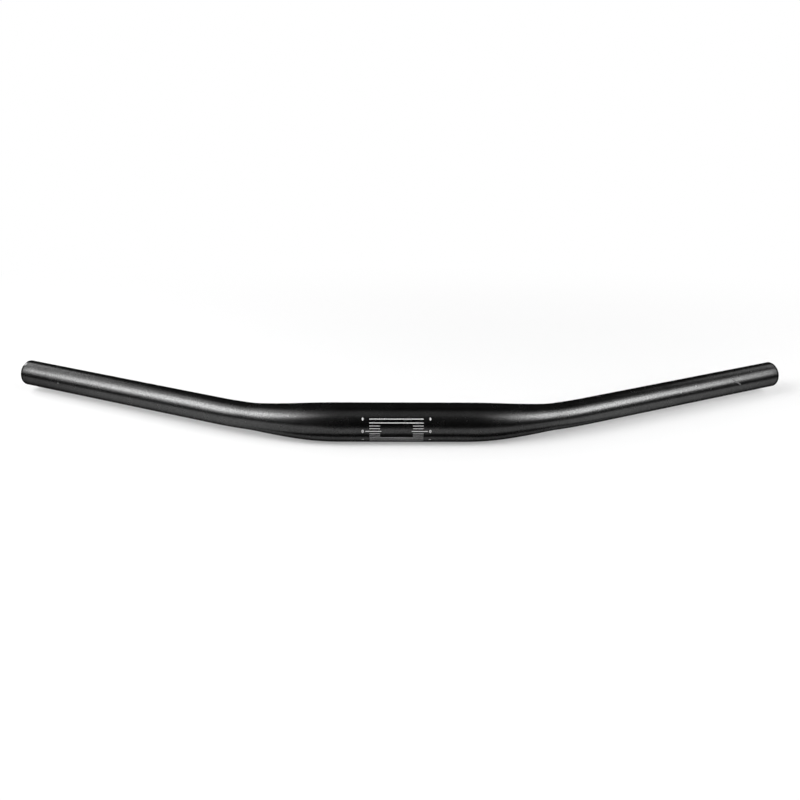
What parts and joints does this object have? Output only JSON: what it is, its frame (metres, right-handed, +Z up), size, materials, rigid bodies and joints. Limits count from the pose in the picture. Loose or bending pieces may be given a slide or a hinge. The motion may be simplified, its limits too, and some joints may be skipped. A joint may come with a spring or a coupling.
{
  "type": "bicycle handlebar",
  "caption": "Swept-back city bike handlebar: a bent, tapered tube with a wide round clamp zone, an angle scale, and straight ends that take grips and levers.",
  "frame": {"origin": "middle of the stem clamp zone, on the tube's axis", "axes": "+X along the clamp axis towards the rider's left hand, +Y back towards the rider, +Z up; both arms lie in the XY plane"},
  "size_m": [0.68, 0.1246, 0.0318],
  "materials": {
    "black_anodised": "blasted and black anodised, satin",
    "scale_print": "thin pale print"
  },
  "bodies": {
    "root": {"handlebar": "black_anodised"}
  },
  "joints": []
}
